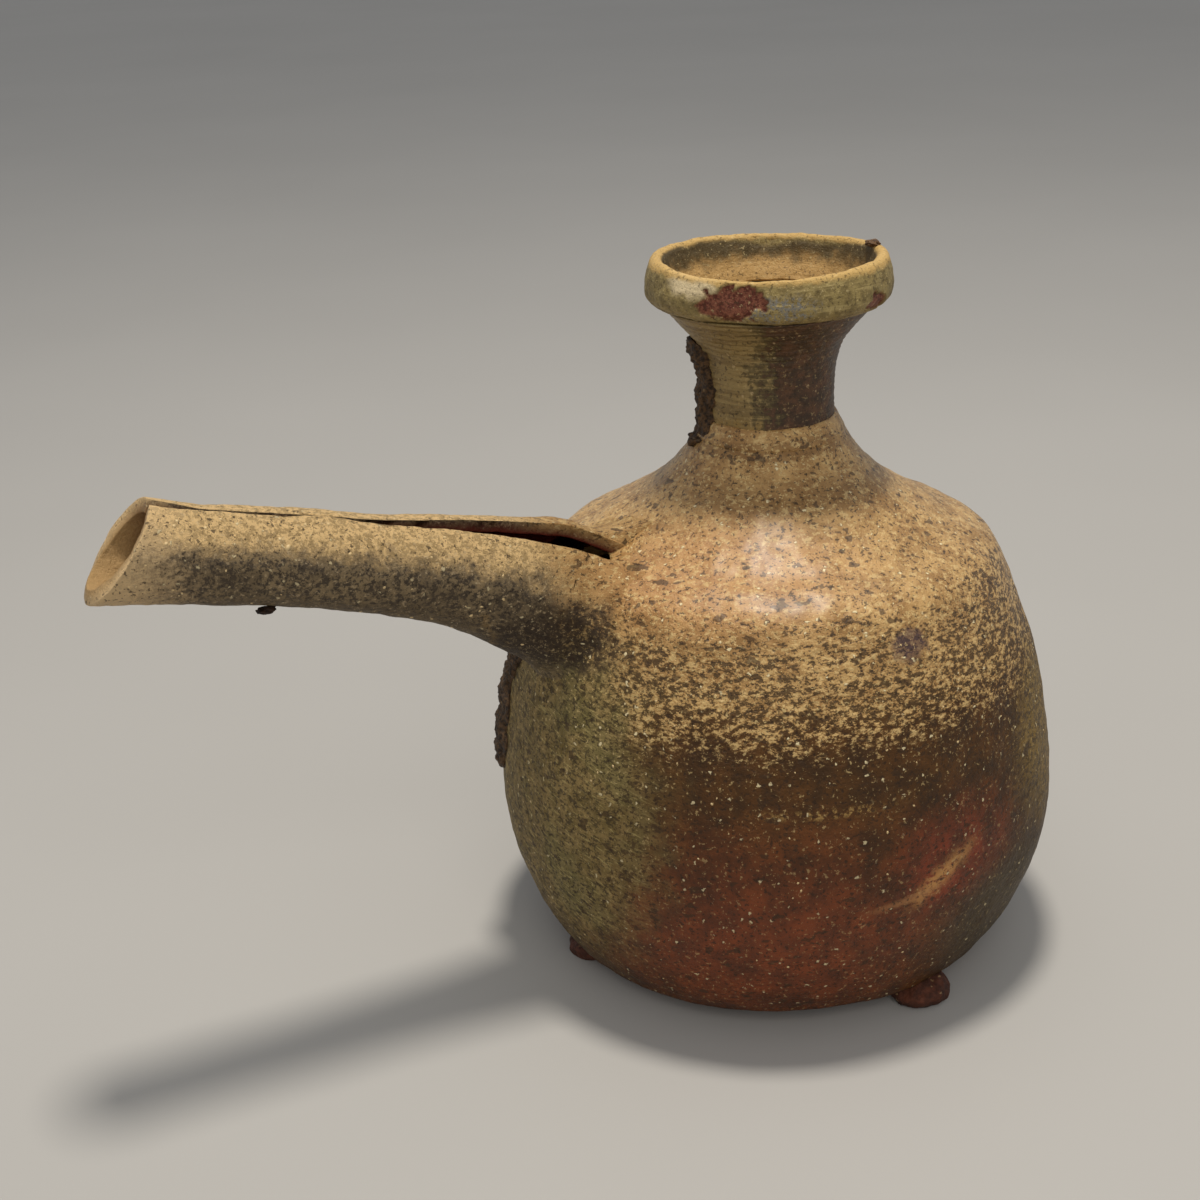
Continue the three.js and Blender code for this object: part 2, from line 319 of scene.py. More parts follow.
def flecks(point, size, share, fill=0.33):
    """1 on ragged flecks: cells are size millimetres apart and about share of them hold one."""
    shake = point.add("ShaderNodeTexNoise", None, {
        "Vector": point, "Scale": 2.2 / size, "Detail": 2}, output=1)
    ragged = point.add("ShaderNodeVectorMath", {"operation": "MULTIPLY_ADD"}, {
        0: shake, 1: (size * 0.8,) * 3, 2: point})
    cells = {"Vector": ragged, "Scale": 1 / size, "Randomness": 1.0}
    near = point.add("ShaderNodeTexVoronoi", None, cells)
    chance = point.add("ShaderNodeSeparateColor", None, {
        0: point.add("ShaderNodeTexVoronoi", None, cells, output=1)})
    held = ease(chance, share + 0.01, share - 0.01)
    return ease(near, fill, fill * 0.6) * held


def lines(point, size, sway=0.06):
    """Throwing lines: noise drawn out round the pot, size millimetres apart."""
    drawn = point.add("ShaderNodeVectorMath", {"operation": "MULTIPLY"}, {0: point, 1: (sway, sway, 1)})
    return cloud(drawn, size, 3, 0.6)


def glaze_parts(wire, p):
    """Colour, roughness and height of the pot's main surface, placed in millimetres of photo_mm."""
    z = part_of(p, "Z")
    mottle = cloud(p, 7, 5, 0.62)
    fine = cloud(p, 1.5, 4, 0.75)
    grit = cloud(p, 1.15, 3, 0.7)
    flat = p.add("ShaderNodeVectorMath", {"operation": "MULTIPLY"}, {0: p, 1: (0.55, 0.55, 1)})
    streak = cloud(flat, 1.2, 4, 0.75)
    sway = cloud(p, 16, 3)

    # Honey ash on the shoulder, flushed pink where it is thinnest, brown where it pooled
    color = mix(ease(mottle, 0.36, 0.64), tint("b5905a"), tint("957040"))
    flush = patch(p, (-12, -42, 118), (30, 22, 12), 0.5, 7, 0.5)
    color = mix(flush * 0.4, color, tint("b27c4c"))
    ring = ease(lines(p, 4.5), 0.46, 0.62) * ease(z + (sway - 0.5) * 8, 121, 131)
    color = mix(ring * 0.5, color, tint("6b4a22"))
    color = mix(ease(streak, 0.54, 0.6) * 0.6, color, tint("cdb078"))

    # Where the ash thinned out, the ochre breaks up over brown clay in ragged bands
    level = z + (sway - 0.5) * 12
    band = (ease(lines(p, 3.2), 0.4, 0.6) - 0.5) * 12
    burnt = patch(p, (62, -32, 99), (16, 26, 22), 0.5, 6, 0.6)
    sheltered = ease(level + band, 92, 124) * (1 - burnt * 0.9)
    broken = ease(streak + sheltered * 0.14, 0.53, 0.49)
    color = mix(broken * 0.9, color, tint("46331a"))
    rust = mix(ease(mottle, 0.35, 0.65), tint("51320f"), tint("3a240b"))
    color = mix(ease(level + (streak - 0.5) * 40, 92, 83), color, rust)
    for centre, radii, hue in (
        ((-2, -74, 30), (42, 36, 28), "7a3a1c"),
        ((46, -57, 49), (15, 20, 14), "86381f"),
        ((15, 72, 34), (44, 34, 24), "723a22"),
    ):
        red = patch(p, centre, radii, 0.3, 14, 0.7)
        color = mix(red * 0.85, color, mix(ease(mottle, 0.3, 0.7), tint(hue), tint("562b17")))
    # A pale cream crescent with a fainter tail below it, painted low on the near right at the rim of the dent.
    pale_crescent = patch(p, (42, -60, 46), (8.5, 14, 2.3), 0.5, 5, 0.9, 38)
    color = mix(pale_crescent * ease(streak, 0.36, 0.52) * 0.8, color, tint("c08d50"))
    tail = patch(p, (34, -66, 42), (9, 12, 0.9), 0.5, 4, 0.8, 6)
    color = mix(tail * 0.5, color, tint("a9784a"))
    seam_line = patch(p, (14, -71, 69), (17, 12, 1.2), 0.8, 3, 0.6) * ease(fine, 0.5, 0.6)
    color = mix(seam_line * 0.8, color, tint("a3824a"))

    # Grey-green ash scratched thin on the side towards the spout
    olive = patch(p, (-64, -32, 60), (44, 54, 48), 0.25, 8, 0.3)
    ash = mix(ease(cloud(p, 5, 4, 0.7), 0.36, 0.64), tint("8a7345"), tint("68562c"))
    ash = mix(ease(cloud(p, 26, 2), 0.46, 0.62) * 0.35, ash, tint("6a683e"))
    scratches = p.add("ShaderNodeVectorRotate", {"rotation_type": "Y_AXIS"}, {
        "Vector": p, "Angle": math.radians(-14)})
    ash = mix(ease(lines(scratches, 0.55, 0.12), 0.55, 0.68) * 0.7, ash, tint("a8965f"))
    ash = mix(ease(streak, 0.48, 0.43) * 0.75, ash, tint("392d18"))
    color = mix(olive, color, ash)
    for centre, radii, shade in (
        # Low on the near right the wall turns away from the lamp: this dark patch is painted shade over darker
        # green-brown glaze.
        ((62, -38, 24), (22, 30, 19), "42361f"),
        ((72, -18, 68), (14, 26, 23), "80662f"),
        ((20, 66, 84), (50, 34, 26), "7d6a3c"),
        ((-20, 64, 30), (40, 34, 22), "51452c"),
    ):
        shaded = mix(ease(streak, 0.5, 0.45) * 0.75, tint(shade), tint("352917"))
        color = mix(patch(p, centre, radii, 0.4, 7, 0.45) * 0.85, color, shaded)
    # Painted shade in the corner round the spout's root, over dark clay.
    color = root_dark_clay_and_shade(p, color)
    mark = patch(p, (33, -53, 105), (4.5, 8, 3.6), 0.7, 2.5, 0.3)
    color = mix(mark * 0.6, color, tint("41303a"))

    # Dark and pale grit through the whole surface
    upper = ease(z, 55, 100)
    color = mix(ease(grit, 0.42, 0.38) * 0.75, color, tint("2c1c0d"))
    color = mix(ease(grit, 0.61, 0.65) * (0.3 + upper * 0.35), color, tint("cdb27a"))
    color = mix(ease(cloud(flat, 2.3, 2, 0.5), 0.36, 0.33) * 0.7, color, tint("382512"))
    pale = flecks(p, 2.3, 0.22, 0.22)
    color = mix(pale * (0.6 + upper * 0.3), color, tint("e6d4a6"))

    shine = 0.42 + (fine - 0.5) * 0.3 + ease(z, 112, 88) * 0.12 + olive * 0.12
    height = grit * 0.7 + cloud(p, 2.6, 3) * 0.6 + lines(p, 1.3) * 0.2 + pale * 0.3
    return color, shine, height


def root_dark_clay_and_shade(p, color):
    """Darkens the corner where spout and belly meet with speckled dark brown: painted shade in the crease, over
    dark clay on the root's near flank.
    """
    root = patch(p, (-55, -38, 104), (21, 20, 10), 0.5, 5, 0.3)
    return mix(root * ease(cloud(p, 1.4, 4, 0.75), 0.36, 0.5) * 0.92, color, tint("33261a"))


def glaze(name):
    material, wire = new_material(name)
    color, shine, height = glaze_parts(wire, photo_point(wire))
    z = part_of(photo_point(wire), "Z")
    close_material(wire, color, shine, height, depth=0.8, coat=ease(z, 88, 116) * 0.35, specular=0.3)
    return material


belly_outside = outline(BELLY_KNOTS, 130)
belly_inside = [
    p for p in inset(outline(BELLY_KNOTS, 60), BELLY_WALL) if BELLY_BOTTOM < p.y < BELLY_TOP]
belly_inside = [Vector((BELLY_KNOTS[0][0] - BELLY_WALL, BELLY_BOTTOM))] + belly_inside
belly_inside.append(Vector((BELLY_KNOTS[-1][0] - BELLY_WALL, BELLY_TOP)))
BELLY_STEPS = 340
DENT = Vector((47, -50, 34))


def belly_unevenness(p):
    squared = 0.8 * math.cos(4 * math.atan2(p.y, p.x) + 0.6) * max(0, 1 - abs(p.z - 45) / 45)
    dent = -1.3 * math.exp(-((p - DENT) / 20).length_squared)
    ring = 0.05 * math.sin(p.z * 1.3 + 3 * ripple(p, 25))
    return (squared + dent + ring + 0.5 * ripple(p, 30) + 0.3 * ripple(p, 9)
            + 0.16 * ripple(p, 3.2)) * min(1, (BELLY_TOP - p.z) / 8)


belly_bm = turned(belly_outside + belly_inside[::-1], BELLY_STEPS)
push(belly_bm, belly_unevenness)

# Spout
# A slab of clay rolled round a stick into a tube. Its two long edges meet on top but were never
# closed at the root, where they gape, and they part again at the lip, which is cut on a slant.
SPOUT_WALL = 3.3
LIP_REACH = (POT_AXIS.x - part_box("spout_tube")[0][0]) / MM
SPOUT_ROOF = [
    (40, 118.5), (56, 127.6), (68, 131), (84, 134.6), (104.6, 138.8), (124, 143.6),
    (147, 149), (154, 151), (160.4, 153.1),
]
SPOUT_KEEL = [
    (58, 84), (68, 90), (77, 97), (91.4, 107.3), (111, 115.3), (130.2, 120.9),
    (153, 126.4), (165, 128.8), (LIP_REACH, 131.3),
]
SPOUT_HALF_WIDTHS = [(17, 0), (16.5, 0), (15, 0), (13.2, 0), (12, 0), (11.4, 0), (11.2, 0), (11.1, 0), (11, 0)]
SEAM_TURN_ROOT = math.radians(27)
SEAM_TURN_TIP = math.radians(7)
SEAM_CLOSED = 0.7
SEAM_TIP = 3.4
SEAM_ROOT = 8


def spout_centre(u):
    middle = (along(SPOUT_ROOF, u) + along(SPOUT_KEEL, u)) / 2
    return Vector((-middle.x, 0, middle.y)) * MM + POT_AXIS


def spout_point(u, angle, grow=0.0):
    """A point of the outside at u, from root to lip, and angle, from the top round to -Y."""
    roof = along(SPOUT_ROOF, u)
    keel = along(SPOUT_KEEL, u)
    width = along(SPOUT_HALF_WIDTHS, u).x
    scale = 1 + grow / width
    centre = (roof + keel) / 2
    rise = (roof - keel) / 2 * scale
    side = -width * scale * math.sin(angle)
    place = Vector((-(centre.x + rise.x * math.cos(angle)), side, centre.y + rise.y * math.cos(angle)))
    return place * MM + POT_AXIS


def seam_turn(u):
    return SEAM_TURN_ROOT + (SEAM_TURN_TIP - SEAM_TURN_ROOT) * u


def seam_half_angle(u):
    reach = (POT_AXIS.x - spout_centre(u).x) / MM
    tip = min(max((reach - 153) / 12, 0), 1)
    root = min(max((115.5 - reach) / 49.5, 0), 1)
    gap = SEAM_CLOSED + (SEAM_TIP - SEAM_CLOSED) * tip + (SEAM_ROOT - SEAM_CLOSED) * root
    return gap / 2 / along(SPOUT_HALF_WIDTHS, u).x


def skin(column_at, columns):
    """Draws a wire through the first column's points and extrudes it from column to column."""
    bm = bmesh.new()
    first = [bm.verts.new(point) for point in column_at(0)]
    edges = [bm.edges.new(pair) for pair in zip(first, first[1:])]
    order = first
    for i in range(1, columns + 1):
        made = bmesh.ops.extrude_edge_only(bm, edges=edges)["geom"]
        fresh = [g for g in made if isinstance(g, bmesh.types.BMVert)]
        by_place = {tuple(v.co): v for v in fresh}
        order = [by_place[tuple(v.co)] for v in order]
        edges = [g for g in made if isinstance(g, bmesh.types.BMEdge) and g.is_boundary]
        edges = [e for e in edges if e.verts[0] in by_place.values() and e.verts[1] in by_place.values()]
        for vert, point in zip(order, column_at(i)):
            vert.co = point
    return bm


SPOUT_COLUMNS = 150
SPOUT_ARC = 72
SPOUT_START = 0.02


def slab_column(i):
    column = []
    for j in range(SPOUT_ARC + 1):
        u = SPOUT_START + (1 - SPOUT_START) * i / SPOUT_COLUMNS
        half = seam_half_angle(u)
        angle = seam_turn(u) + half + (2 * math.pi - 2 * half) * j / SPOUT_ARC
        column.append(spout_point(u, angle))
    return column


spout_bm = skin(slab_column, SPOUT_COLUMNS)
bmesh.ops.recalc_face_normals(spout_bm, faces=spout_bm.faces)
sample = next(iter(spout_bm.faces))
outward = (sample.calc_center_median() - spout_centre(SPOUT_START)).dot(sample.normal) > 0
if not outward:
    bmesh.ops.reverse_faces(spout_bm, faces=spout_bm.faces)
bmesh.ops.solidify(spout_bm, geom=spout_bm.faces[:], thickness=SPOUT_WALL * MM)
bmesh.ops.recalc_face_normals(spout_bm, faces=spout_bm.faces)
RIM_ANGLE = math.radians(50)
rim = [e for e in spout_bm.edges if len(e.link_faces) == 2 and e.calc_face_angle(0) > RIM_ANGLE]
bmesh.ops.bevel(spout_bm, geom=rim, offset=1.1 * MM, offset_type="OFFSET", segments=3,
                profile=0.5, affect="EDGES", clamp_overlap=True, material=-1)
push(spout_bm, lambda p: 0.45 * ripple(p, 16) + 0.28 * ripple(p, 5) + 0.15 * ripple(p, 2))

# 1 inside the tube and across the slab's thickness, for the unglazed clay of the bore
inside_layer = spout_bm.verts.layers.float.new("inside")
CENTRE_STEPS = 200
centre_line = [(spout_centre(i / CENTRE_STEPS), i / CENTRE_STEPS) for i in range(CENTRE_STEPS + 1)]
for vert in spout_bm.verts:
    centre, u = min(centre_line, key=lambda station: (vert.co - station[0]).length_squared)
    roof, keel = along(SPOUT_ROOF, u), along(SPOUT_KEEL, u)
    offset = (vert.co - centre) / MM
    share = math.hypot(offset.y / along(SPOUT_HALF_WIDTHS, u).x,
                       math.hypot(offset.x, offset.z) / ((roof - keel).length / 2))
    vert[inside_layer] = 1.0 if share < 0.9 else 0.0


def spout_colors(wire, p):
    """Pale ochre ash on top, speckled grey-brown flanks, ash again along the keel."""
    reach = wire.add("ShaderNodeVectorMath", {"operation": "LENGTH"}, {
        0: wire.add("ShaderNodeVectorMath", {"operation": "MULTIPLY"}, {0: p, 1: (1, 1, 0)})}, output=1)
    upward = part_of(wire.add("ShaderNodeNewGeometry", output=1), "Z")
    wander = (cloud(p, 4, 5, 0.8) - 0.5) * 1.3
    mottle = cloud(p, 1.5, 4, 0.8)
    top = mix(ease(mottle, 0.46, 0.56), tint("d2b07a"), tint("a08558"))
    flank = mix(ease(mottle, 0.44, 0.56), tint("453a2d"), tint("8a7656"))
    flank = mix(ease(cloud(p, 9, 3), 0.4, 0.6) * 0.5, flank, tint("4d4030"))
    color = mix(ease(upward + wander, 0.1, 0.6), flank, top)
    under = ease(upward + wander * 0.4, -0.35, -0.8)
    color = mix(under * 0.6, color, tint("5e4c2f"))
    near_tip = ease(reach + (mottle - 0.5) * 26, 150, 174)
    color = mix(near_tip * 0.85, color, tint("dcbb8a"))
    # Painted shade in the corner round the spout's root, over dark clay.
    color = root_dark_clay_and_shade(p, color)
    run = patch(p, (-69, -33, 112), (2.4, 14, 13), 0.7, 4, 0.5) * ease(mottle, 0.4, 0.5)
    color = mix(run * 0.9, color, tint("ab8444"))
    grit = cloud(p, 1.15, 3, 0.7)
    color = mix(ease(grit, 0.41, 0.37) * 0.75, color, tint("261b12"))
    color = mix(ease(grit, 0.6, 0.64) * 0.5, color, tint("bda680"))
    return color, reach, mottle


spout_material, wire = new_material("spout_clay")
p = photo_point(wire)
inside = wire.add("ShaderNodeAttribute", {"attribute_name": "inside"}, output=2)
color, reach, mottle = spout_colors(wire, p)
bore = mix(ease(reach + (mottle - 0.5) * 12, 150, 168), mix(mottle, tint("7a2a18"), tint("3a140c")), tint("ae8c5c"))
color = mix(inside, color, bore)
pale = flecks(p, 2.4, 0.22, 0.2) * (1 - inside)
color = mix(pale * 0.8, color, tint("dcc99c"))
near_root = ease(reach + (mottle - 0.5) * 16, 76, 62)
pot_color, shine, pot_height = glaze_parts(wire, p)
color = mix(near_root * (1 - inside), color, pot_color)
height = cloud(p, 0.8, 4, 0.8) * 0.8 + cloud(p, 2.6, 3) * 0.6 + pale * 0.3
close_material(wire, color, 0.62 + (mottle - 0.5) * 0.3, height, specular=0.35)

# The hole in the belly's wall follows the spout's bore
BORE_STEPS = 48
bore_bm = skin(lambda i: [
    spout_point(0.44 * i / 12, 2 * math.pi * j / BORE_STEPS, -SPOUT_WALL) for j in range(BORE_STEPS + 1)
], 12)
bmesh.ops.remove_doubles(bore_bm, verts=bore_bm.verts, dist=1e-6)
bmesh.ops.holes_fill(bore_bm, edges=[e for e in bore_bm.edges if e.is_boundary], sides=0)
bmesh.ops.recalc_face_normals(bore_bm, faces=bore_bm.faces)
bore_mesh = bpy.data.meshes.new("bore_cutter")
bore_bm.to_mesh(bore_mesh)
bore_bm.free()
bore_cutter = bpy.data.objects.new("bore_cutter", bore_mesh)
bpy.context.collection.objects.link(bore_cutter)

belly_tree = BVHTree.FromBMesh(belly_bm)
belly = finished(belly_bm, "belly", glaze("belly_glaze"), ["belly_wall"])
cut = belly.modifiers.new("bore", "BOOLEAN")
cut.operation = "DIFFERENCE"
cut.solver = "EXACT"
cut.object = bore_cutter
depsgraph = bpy.context.evaluated_depsgraph_get()
cut_mesh = bpy.data.meshes.new_from_object(belly.evaluated_get(depsgraph))
belly.modifiers.clear()
belly.data = cut_mesh
bpy.data.objects.remove(bore_cutter)

spout_tree = BVHTree.FromBMesh(spout_bm)
spout = finished(spout_bm, "spout", spout_material, ["spout_tube"])

# Spout luting
# Soft clay smeared into the corner between spout and belly, broad on top, where a thumb wiped
# it over the shoulder, and pinched to a crease underneath.
LUTING_COLUMNS = 90
LUTING_POINTS = 10


def belly_radius(height):
    """Radius of the belly's outside at a height, both in millimetres."""
    for low, high in zip(belly_outside, belly_outside[1:]):
        if low.y <= height <= high.y:
            return low.x + (high.x - low.x) * (height - low.y) / (high.y - low.y)
    return belly_outside[0].x if height < belly_outside[0].y else 0


def meets_belly(angle):
    """How far along the spout its line at this angle comes out of the belly."""
    inner, outer = 0.0, 0.6
    for _ in range(30):
        middle = (inner + outer) / 2
        place = (spout_point(middle, angle) - POT_AXIS) / MM
        if math.hypot(place.x, place.y) < belly_radius(place.z):
            inner = middle
        else:
            outer = middle
    return inner


def luting_column(i):
    half = math.radians(15)
    angle = seam_turn(0.12) + half + (2 * math.pi - 2 * half) * i / LUTING_COLUMNS
    u = meets_belly(angle)
    corner = spout_point(u, angle)
    topness = (1 + math.cos(angle)) / 2
    size = (3 + 9 * topness) * MM * (1 + 0.25 * ripple(corner / MM, 7))
    ahead = spout_point(u + 0.05, angle) - corner
    on_tube = spout_point(u + 0.05 * size / ahead.length, angle, -0.25)
    away = (corner - spout_centre(u)).normalized()
    on_belly, normal, _, _ = belly_tree.find_nearest(corner + away * size)
    on_belly = on_belly - normal * 0.25 * MM
    curve = []
    for j in range(LUTING_POINTS + 1):
        t = j / LUTING_POINTS
        curve.append(on_tube * (1 - t) ** 2 + corner * 2 * t * (1 - t) + on_belly * t * t)
    deep = corner - away * 2.5 * MM - ahead.normalized() * 3 * MM
    return curve + [deep, curve[0]]


luting_bm = skin(luting_column, LUTING_COLUMNS)
bmesh.ops.remove_doubles(luting_bm, verts=luting_bm.verts, dist=1e-7)
bmesh.ops.holes_fill(luting_bm, edges=[e for e in luting_bm.edges if e.is_boundary], sides=0)
bmesh.ops.recalc_face_normals(luting_bm, faces=luting_bm.faces)
push(luting_bm, lambda p: 0.3 * ripple(p, 5) + 0.15 * ripple(p, 2))
finished(luting_bm, "spout_root_clay", spout_material, ["spout_luting"])

# Neck
# Thrown on its own, then set on the shoulder: a waist that flares out to carry the collar, with
# the wheel's fine lines left on it. The side away from the ash is charcoal brown.
NECK_WALL = 4
NECK_BOTTOM = neck_low[2] / MM
NECK_TOP = neck_high[2] / MM
NECK_RADIUS = (neck_high[0] - neck_low[0]) / 2 / MM
NECK_KNOTS = [(17.2, NECK_BOTTOM), (16.6, 155), (18.2, 165.5), (22.4, 171.8), (NECK_RADIUS, NECK_TOP)]
neck_outside = outline(NECK_KNOTS, 60)
neck_inside = [p for p in inset(outline(NECK_KNOTS, 30), NECK_WALL) if NECK_BOTTOM < p.y < NECK_TOP]
neck_bm = turned(neck_outside + neck_inside[::-1], 220)
push(neck_bm, lambda p: 0.1 * math.sin(p.z * 4.2 + ripple(p, 9)) + 0.35 * ripple(p, 9) + 0.12 * ripple(p, 2))

neck_material, wire = new_material("neck_glaze")
p = photo_point(wire)
z = part_of(p, "Z")
x = part_of(p, "X")
y = part_of(p, "Y")
drawn = lines(p, 1.1)
mottle = cloud(p, 3, 5, 0.65)
khaki = mix(ease(drawn, 0.42, 0.6) * 0.7, tint("8a7549"), tint("6a5633"))
char = mix(ease(mottle, 0.4, 0.65), tint("38281a"), tint("553a26"))
char = mix(ease(cloud(p, 1.4, 3), 0.6, 0.72) * 0.5, char, tint("7b6547"))
foot_glow = ease(z + (mottle - 0.5) * 9, 152, 145)
khaki = mix(foot_glow * 0.8, khaki, mix(ease(mottle, 0.4, 0.6), tint("86682f"), tint("64471f")))
border = x + (mottle - 0.5) * 22 + (drawn - 0.5) * 10
burnt = ease(border, -2.5, 1) * ease(y, 13, 9) * ease(z + (mottle - 0.5) * 8, 143, 145)
edge = ease(border, -5, -2) * ease(border, 3, -1)
color = mix(edge * 0.6, mix(burnt, khaki, char), tint("3c351d"))
grit = cloud(p, 1.1, 3, 0.7)
color = mix(ease(grit, 0.42, 0.38) * 0.7, color, tint("2a1c0f"))
color = mix(ease(grit, 0.61, 0.65) * 0.35, color, tint("b39a68"))
axis_distance = wire.add("ShaderNodeVectorMath", {"operation": "LENGTH"}, {
    0: wire.add("ShaderNodeVectorMath", {"operation": "MULTIPLY"}, {0: p, 1: (1, 1, 0)})}, output=1)
throat = ease(axis_distance - (z - 160) * 0.55 * ease(z, 158, 170), 15.2, 14.2)
throat_color = mix(ease(mottle, 0.42, 0.6), tint("ad8a54"), tint("7b6038"))
color = mix(throat, color, throat_color)
color = mix(flecks(p, 2.0, 0.25, 0.24) * 0.5, color, tint("b9a177"))
close_material(wire, color, 0.5 + (mottle - 0.5) * 0.3, drawn * 0.3 + cloud(p, 0.9, 3) * 0.25, specular=0.4)
finished(neck_bm, "neck_tube", neck_material, ["neck"])

# Neck luting
# The slip that was wiped into the joint between shoulder and neck. A hair-thin crease stays
# above it, where the glaze drew back.
LUTING_LOW, LUTING_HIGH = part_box("neck_luting")
joint_z = LUTING_LOW[2] / MM
joint_top = LUTING_HIGH[2] / MM
JOINT_OUTLINE = [(16.2, joint_z - 1), (19.75, joint_z - 0.8), (19.3, joint_z + 0.6), (18.6, joint_z + 1.8),
                 (18.0, joint_z + 2.9), (17.5, joint_top - 1.0), (17.1, joint_top - 0.4), (16.2, joint_top - 0.5)]
joint_bm = turned([Vector(p) for p in JOINT_OUTLINE], 200)
push(joint_bm, lambda p: 0.25 * ripple(p, 5) + 0.12 * ripple(p, 2))
finished(joint_bm, "neck_joint_clay", glaze("joint_glaze"), ["neck_luting"])

# Mouth collar
# A thick band pressed round the flared mouth, pulled slightly out of round. Ash lies khaki on it, with a pale patch
# at the front of the lip and a painted highlight along the lip's top edge, and one flake of glaze has sprung off
# and shows red clay.
COLLAR_KNOTS = [
    (22.6, 176.9), (26.4, 176.8), (28.6, 177.6), (30.3, 179.2), (30.9, 181.5), (30.5, 184.5),
    (29.9, 187), (29.3, 188.3), (28.2, 188.7), (27.1, 188), (26.4, 186), (25.2, 182), (23.4, 178.5),
]
collar_bm = turned(outline(COLLAR_KNOTS + COLLAR_KNOTS[:1], 110)[:-1], 420)
SPALL = ((-9.5, -29.2, 182.5), (9.5, 8, 4.6))
SMALL_SPALL = ((26, -15, 179.4), (3.5, 5, 2.8))
COLLAR_LIP_RADIUS = 28.2
spall_layer = collar_bm.verts.layers.float.new("spall")


def spall_depth(p):
    """1 where the glaze has flaked off the outside, falling to 0 over half a millimetre."""
    if math.hypot(p.x, p.y) < COLLAR_LIP_RADIUS:
        return 0
    deepest = 0
    for centre, radii in (SPALL, SMALL_SPALL):
        offset = p - Vector(centre)
        reach = Vector(offset[i] / radii[i] for i in range(3)).length
        reach += 0.4 * noise.noise(p / 3.2) + 0.22 * noise.noise(p / 1.2)
        deepest = max(deepest, min(1, max(0, (1.0 - reach) / 0.07)))
    return deepest


def collar_unevenness(p):
    angle = math.atan2(p.y, p.x)
    return (0.45 * math.cos(2 * angle + 0.4) + 0.35 * ripple(p, 10) + 0.22 * ripple(p, 4)
            + 0.12 * ripple(p, 1.6) - 0.75 * spall_depth(p))


for vert in collar_bm.verts:
    vert[spall_layer] = spall_depth(photo_mm(vert.co))
push(collar_bm, collar_unevenness)

collar_material, wire = new_material("collar_ash")
p = photo_point(wire)
z = part_of(p, "Z")
mottle = cloud(p, 3.4, 5, 0.68)
drawn = lines(p, 1.2)
color = mix(ease(mottle, 0.36, 0.64), tint("93804e"), tint("74633a"))
color = mix(ease(drawn, 0.52, 0.7) * 0.5, color, tint("b7a26c"))
grey = patch(p, (2, -30, 181.5), (10, 8, 3.4), 0.5, 3, 0.3)
color = mix(grey * ease(cloud(p, 1.1, 4, 0.7), 0.45, 0.6), color, tint("77736a"))
white = patch(p, (-19.4, -23, 186.4), (7, 7, 3), 0.6, 3, 0.4)
color = mix(white * 0.9, color, tint("dac59c"))
# Painted highlight: a paler band along the top edge of the lip.
lip = ease(z + (mottle - 0.5) * 2.5, 186.6, 187.8)
color = mix(lip * 0.85, color, tint("c09c5c"))
axis_distance = wire.add("ShaderNodeVectorMath", {"operation": "LENGTH"}, {
    0: wire.add("ShaderNodeVectorMath", {"operation": "MULTIPLY"}, {0: p, 1: (1, 1, 0)})}, output=1)
bowl = ease(axis_distance, 27.2, 26.6)
bowl_color = mix(ease(z + (cloud(p, 4, 5, 0.7) - 0.5) * 14, 180, 186), tint("ad8a54"), tint("54462b"))
color = mix(bowl, color, bowl_color)
spall = wire.add("ShaderNodeAttribute", {"attribute_name": "spall"}, output=2)
red_clay = mix(ease(cloud(p, 1.2, 4, 0.8), 0.42, 0.6), tint("552619"), tint("85503a"))
color = mix(spall, color, red_clay)
grit = cloud(p, 1.0, 3, 0.7)
color = mix(ease(grit, 0.42, 0.38) * 0.6, color, tint("3f3018"))
color = mix(ease(grit, 0.61, 0.65) * 0.4, color, tint("d3bd88"))
close_material(wire, color, 0.58 + (mottle - 0.5) * 0.3, drawn * 0.22 + cloud(p, 0.8, 4, 0.7) * 0.4, specular=0.35)
finished(collar_bm, "mouth_band", collar_material, ["mouth_collar"])

# Base slab
# A rolled disc that closes the thrown wall. It is bare clay underneath, burnt red.
base_low, base_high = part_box("base_slab")
BASE_BOTTOM = base_low[2] / MM
BASE_TOP = base_high[2] / MM
BASE_RADIUS = (base_high[0] - base_low[0]) / 2 / MM
BASE_KNOTS = [(0, BASE_BOTTOM), (20, BASE_BOTTOM), (40, BASE_BOTTOM), (52, BASE_BOTTOM), (54.8, BASE_BOTTOM + 0.4),
              (57.6, 3.6), (BASE_RADIUS, BASE_TOP), (40, BASE_TOP), (0, BASE_TOP)]
base_bm = turned([Vector(k) for k in BASE_KNOTS[:1]] + [
    Vector(BASE_KNOTS[i]).lerp(Vector(BASE_KNOTS[i + 1]), f / 8) for i in range(8) for f in range(1, 9)], 240)
push(base_bm, lambda p: (0.2 * ripple(p, 12) + 0.15 * ripple(p, 3)) * min(1, Vector((p.x, p.y)).length / 20))


def bare_clay(name, light, dark):
    material, wire = new_material(name)
    p = photo_point(wire)
    mottle = cloud(p, 4, 5, 0.65)
    color = mix(ease(mottle, 0.36, 0.64), tint(light), tint(dark))
    color = mix(flecks(p, 2.2, 0.3, 0.24) * 0.6, color, tint("a98a60"))
    color = mix(flecks(p, 1.8, 0.3, 0.3) * 0.4, color, tint("2c1710"))
    close_material(wire, color, 0.66 + (mottle - 0.5) * 0.3, cloud(p, 0.9, 4, 0.7) * 0.5, specular=0.35)
    return material


finished(base_bm, "base_disc", bare_clay("base_clay", "6b3a26", "4a2417"), ["base_slab"])

